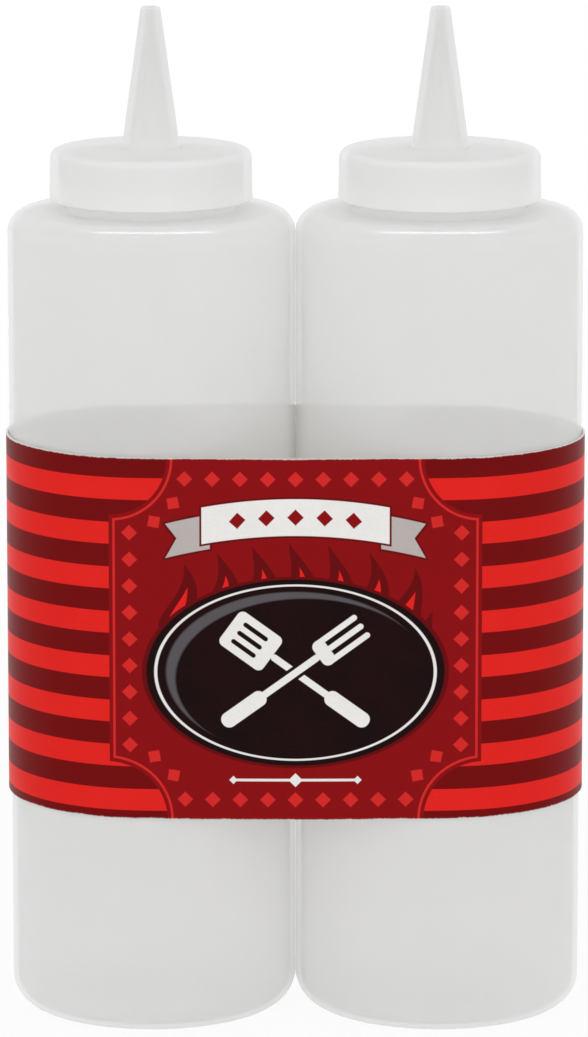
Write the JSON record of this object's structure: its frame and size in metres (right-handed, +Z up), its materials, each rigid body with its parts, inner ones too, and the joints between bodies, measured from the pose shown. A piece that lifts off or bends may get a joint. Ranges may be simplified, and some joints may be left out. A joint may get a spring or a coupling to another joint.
{
  "type": "squeeze bottle pair",
  "caption": "Two round translucent squeeze bottles side by side, each with a screw-on cone-nozzle cap, held together by a printed card sleeve.",
  "frame": {"origin": "on the floor, midway between the two bottles' axes", "axes": "+Z up along the bottles, +X from the left bottle to the right one, -Y out of the sleeve's front"},
  "size_m": [0.1418, 0.0735, 0.2485],
  "materials": {
    "bottle_plastic": "milky translucent polyethylene, satin",
    "cap_plastic": "milky translucent polyethylene, satin",
    "printed_card": "printed red with a thin gloss varnish, white board edge",
    "glue": "set hot-melt glue",
    "seal": "soft white ring"
  },
  "bodies": {
    "sleeve": {"sleeve": "printed_card", "sleeve_glue": "glue"},
    "bottle_left": {"bottle_left": "bottle_plastic"},
    "seal_left": {"seal_left": "seal"},
    "cap_left": {"cap_left": "cap_plastic"},
    "bottle_right": {"bottle_right": "bottle_plastic"},
    "seal_right": {"seal_right": "seal"},
    "cap_right": {"cap_right": "cap_plastic"}
  },
  "joints": [
    {"name": "bottle_left_slide", "type": "slide", "parent": "sleeve", "child": "bottle_left", "axis": [0, 0, 1], "range_m": [0, 0.15]},
    {"name": "cap_left_lift", "type": "slide", "parent": "bottle_left", "child": "seal_left", "axis": [0, 0, 1], "range_m": [0, 0.0127]},
    {"name": "cap_left_turn", "type": "hinge", "parent": "seal_left", "child": "cap_left", "pos_m": [-0.03515, 0, 0.2], "axis": [0, 0, 1], "range_deg": [0, 1080.5]},
    {"name": "bottle_right_slide", "type": "slide", "parent": "sleeve", "child": "bottle_right", "axis": [0, 0, 1], "range_m": [0, 0.15]},
    {"name": "cap_right_lift", "type": "slide", "parent": "bottle_right", "child": "seal_right", "axis": [0, 0, 1], "range_m": [0, 0.0127]},
    {"name": "cap_right_turn", "type": "hinge", "parent": "seal_right", "child": "cap_right", "pos_m": [0.03515, 0, 0.2], "axis": [0, 0, 1], "range_deg": [0, 1080.5]}
  ],
  "couplings": [
    {"joint": "cap_left_turn", "follows": "cap_left_lift", "rad_per_m": 1484.2},
    {"joint": "cap_right_turn", "follows": "cap_right_lift", "rad_per_m": 1484.2}
  ]
}
